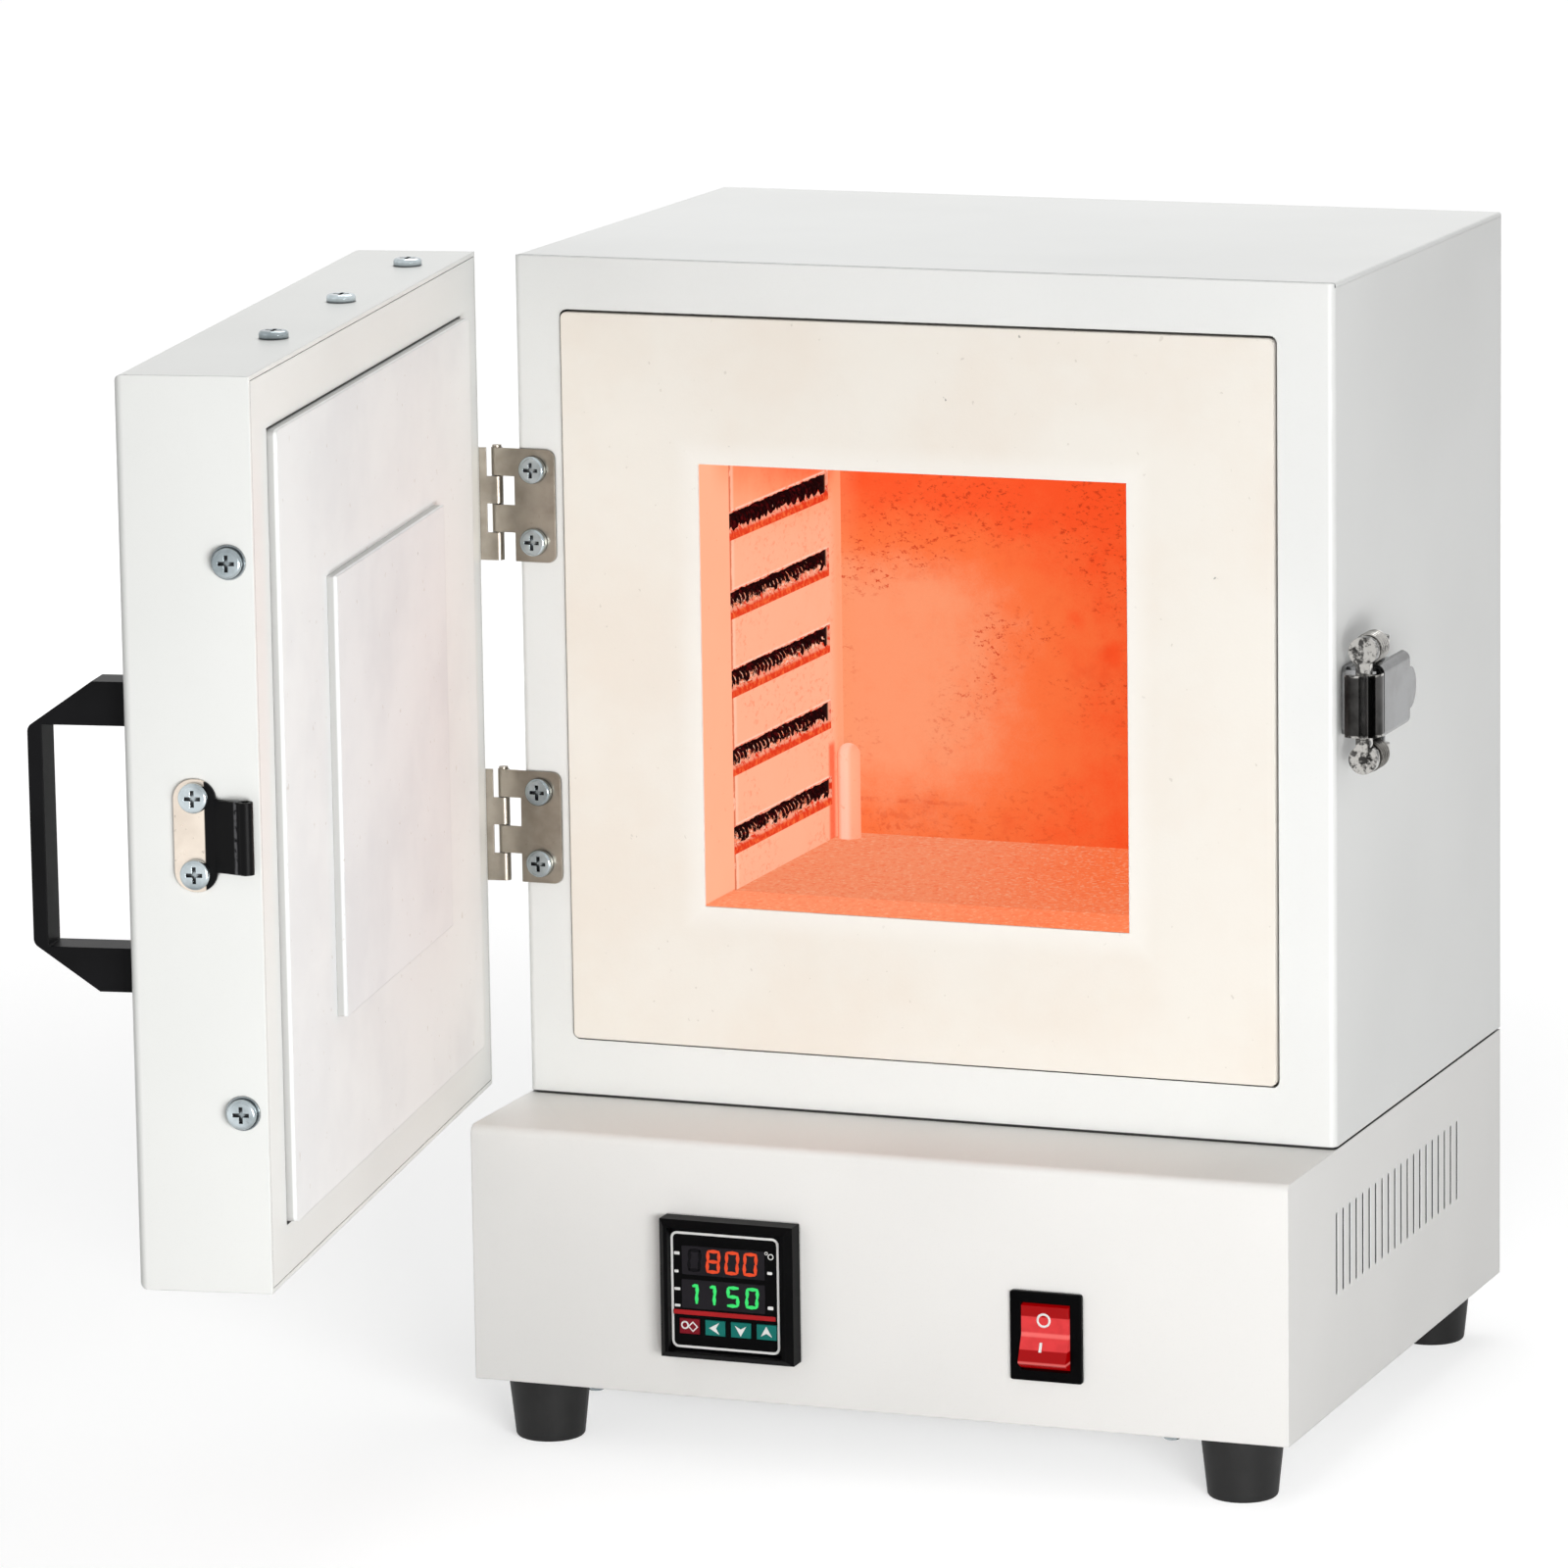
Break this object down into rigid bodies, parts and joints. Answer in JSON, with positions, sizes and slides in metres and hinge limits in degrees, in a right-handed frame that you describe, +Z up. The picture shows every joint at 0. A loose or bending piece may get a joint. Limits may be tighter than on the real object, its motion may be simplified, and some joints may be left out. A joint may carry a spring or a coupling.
{
  "type": "burnout furnace",
  "caption": "Bench burnout furnace: white steel case on a control box with controller and rocker switch, hinged door with raised plug open, square brick chamber with coil slots.",
  "frame": {"origin": "on the standing surface, midway between the four feet", "axes": "+X to the latch side, +Y to the back, +Z up"},
  "size_m": [0.363, 0.5152, 0.4066],
  "materials": {
    "white_coat": "fine powder coat, satin",
    "door_coat": "fine powder coat, satin",
    "refractory": "rough cast refractory, cream",
    "firebrick": "soft firebrick, matt",
    "fibre": "ceramic fibre blanket",
    "element_wire": "oxidised resistance wire",
    "sheath": "ceramic sheath",
    "zinc": "zinc plated",
    "nickel": "nickel plated",
    "spring_steel": "spring steel",
    "black_plastic": "satin black",
    "face_plastic": "glossy black with numbers",
    "key_teal": "rubbery teal",
    "key_red": "rubbery dark red",
    "rocker_red": "clear red",
    "rubber": "moulded black rubber",
    "heat_sink": "extruded",
    "relay_plastic": "moulded",
    "terminal_plastic": "moulded",
    "wire_jacket": "insulated wire",
    "insulator": "glazed block"
  },
  "bodies": {
    "furnace": {"control_box_cover": "white_coat", "control_box_floor": "zinc", "control_box_back": "white_coat", "box_screws": "zinc", "rubber_feet": "rubber", "foot_screws": "zinc", "cable_gland": "black_plastic", "relay": "relay_plastic", "relay_heat_sink": "heat_sink", "terminal_block": "terminal_plastic", "wiring": "wire_jacket", "controller_body": "black_plastic", "controller_face": "face_plastic", "controller_clamp": "black_plastic", "switch_frame": "black_plastic", "front_frame": "white_coat", "side_panel_left": "white_coat", "side_panel_right": "white_coat", "top_panel": "white_coat", "back_panel": "white_coat", "bottom_panel": "zinc", "panel_screws": "zinc", "front_board": "refractory", "chamber_wall_left": "firebrick", "chamber_wall_right": "firebrick", "chamber_roof": "firebrick", "chamber_hearth": "firebrick", "chamber_back": "firebrick", "heating_coils_left": "element_wire", "heating_coils_right": "element_wire", "insulation": "fibre", "thermocouple": "sheath", "thermocouple_head": "insulator", "hinge_leaves_body": "nickel", "hinge_pins": "nickel", "hinge_screws_body": "zinc", "latch_base": "nickel", "latch_screws": "zinc"},
    "door": {"door_shell": "door_coat", "door_inner_panel": "door_coat", "door_insulation": "fibre", "door_board": "refractory", "door_plug": "refractory", "door_screws": "zinc", "handle": "black_plastic", "handle_screws": "zinc", "keeper": "nickel", "keeper_screws": "zinc", "hinge_leaves_door": "nickel", "hinge_screws_door": "zinc"},
    "lever": {"latch_lever": "nickel", "latch_trunnion": "nickel"},
    "claw": {"latch_claw": "nickel", "latch_springs": "spring_steel"},
    "rocker": {"rocker": "rocker_red"},
    "set_key": {"key_set": "key_red"},
    "left_key": {"key_left": "key_teal"},
    "down_key": {"key_down": "key_teal"},
    "up_key": {"key_up": "key_teal"}
  },
  "joints": [
    {"name": "door_hinge", "type": "hinge", "parent": "furnace", "child": "door", "pos_m": [-0.1539, -0.0701, 0.2605], "axis": [0, 0, -1], "range_deg": [-80.5, 99.5]},
    {"name": "latch_lever", "type": "hinge", "parent": "furnace", "child": "lever", "pos_m": [0.1535, -0.058, 0.2626], "axis": [0, 0, -1], "range_deg": [0, 105]},
    {"name": "latch_claw", "type": "hinge", "parent": "lever", "child": "claw", "pos_m": [0.1555, -0.0505, 0.2626], "axis": [0, 0, -1], "range_deg": [-105, 0]},
    {"name": "power_rocker", "type": "hinge", "parent": "furnace", "child": "rocker", "pos_m": [0.0617, -0.1225, 0.0533], "axis": [1, 0, 0], "range_deg": [0, 24]},
    {"name": "press_set", "type": "slide", "parent": "furnace", "child": "set_key", "axis": [0, 1, 0], "range_m": [0, 0.0005], "stiffness_N_per_m": 1000},
    {"name": "press_left", "type": "slide", "parent": "furnace", "child": "left_key", "axis": [0, 1, 0], "range_m": [0, 0.0005], "stiffness_N_per_m": 1000},
    {"name": "press_down", "type": "slide", "parent": "furnace", "child": "down_key", "axis": [0, 1, 0], "range_m": [0, 0.0005], "stiffness_N_per_m": 1000},
    {"name": "press_up", "type": "slide", "parent": "furnace", "child": "up_key", "axis": [0, 1, 0], "range_m": [0, 0.0005], "stiffness_N_per_m": 1000}
  ],
  "couplings": [
    {"joint": "latch_claw", "follows": "latch_lever", "ratio": -1}
  ]
}
